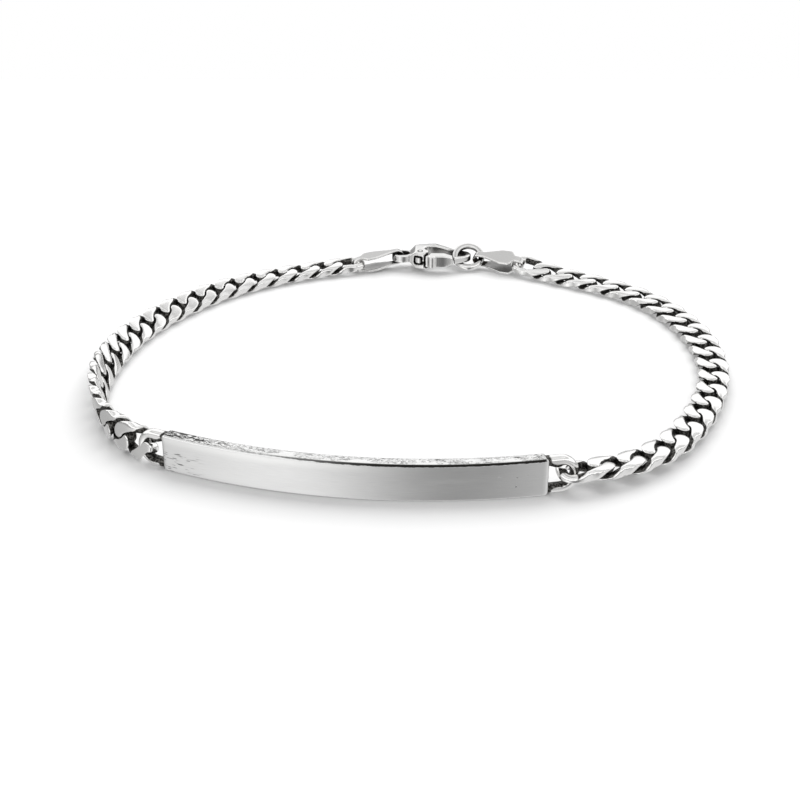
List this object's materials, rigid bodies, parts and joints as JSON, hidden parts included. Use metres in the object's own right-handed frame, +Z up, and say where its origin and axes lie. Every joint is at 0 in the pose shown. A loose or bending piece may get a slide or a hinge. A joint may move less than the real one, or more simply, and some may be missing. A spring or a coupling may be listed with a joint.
{
  "type": "id bracelet",
  "caption": "Identity bracelet lying closed: a plain curved bar on edge, flat curb chain at each side, folded end tags, a jump ring and a lobster clasp with a sprung lever.",
  "frame": {"origin": "centre of the bounding box's foot, on the table that the closed bracelet lies on", "axes": "+Z up from the table; the name bar is at -Y with its front face outward, the clasp is at +Y, and the chains run round at -X and +X"},
  "size_m": [0.0664, 0.0614, 0.0035],
  "materials": {
    "bar": "sterling silver with a brushed front face and dark marks along the top edge",
    "chain": "polished sterling silver, dark in the recesses",
    "clasp": "polished sterling silver"
  },
  "bodies": {
    "bracelet": {"id_bar": "bar", "chain_left": "chain", "chain_right": "chain", "tag_left": "clasp", "tag_right": "clasp", "jump_ring": "clasp", "clasp_body": "clasp", "clasp_pin": "clasp"},
    "lever": {"clasp_lever": "clasp"}
  },
  "joints": [
    {"name": "lever_hinge", "type": "hinge", "parent": "bracelet", "child": "lever", "pos_m": [0.00109, 0.0271, 0.00165], "axis": [0.0018, 0.1045, 0.9945], "range_deg": [0, 20], "stiffness_Nm_per_rad": 0.004, "springref_deg": -5.73}
  ]
}
